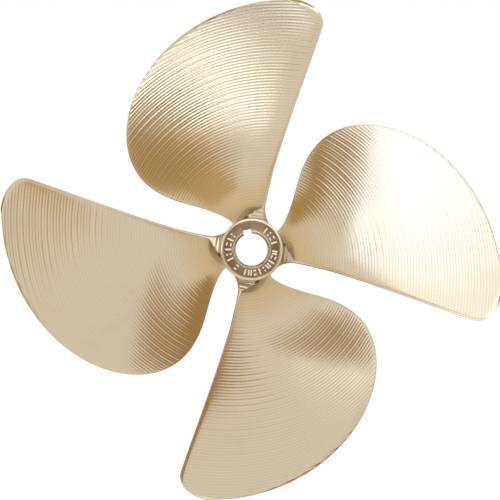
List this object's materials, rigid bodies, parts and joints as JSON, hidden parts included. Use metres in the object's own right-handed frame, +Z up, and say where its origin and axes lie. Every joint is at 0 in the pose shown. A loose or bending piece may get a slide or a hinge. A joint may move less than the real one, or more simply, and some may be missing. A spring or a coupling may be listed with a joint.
{
  "type": "boat propeller",
  "caption": "Left-hand fixed-pitch boat propeller with broad skewed blades cast onto a hub that has a tapered, keyed bore.",
  "frame": {"origin": "on the shaft axis, in the hub's forward face", "axes": "+Y along the shaft axis, forward to the boat; +Z up; +X to starboard"},
  "size_m": [0.3792, 0.0946, 0.3792],
  "materials": {
    "cast_bronze": "machined and lightly brushed nickel-aluminium bronze, a little browner in the sunk ring",
    "mark_bronze": "as-cast bronze with worn, brighter tops",
    "milled_bronze": "ball-milled bronze with fine concentric tool ridges, satin"
  },
  "bodies": {
    "root": {"hub": "cast_bronze", "raised_marks": "mark_bronze", "blade_1": "milled_bronze", "blade_2": "milled_bronze", "blade_3": "milled_bronze", "blade_4": "milled_bronze"}
  },
  "joints": []
}
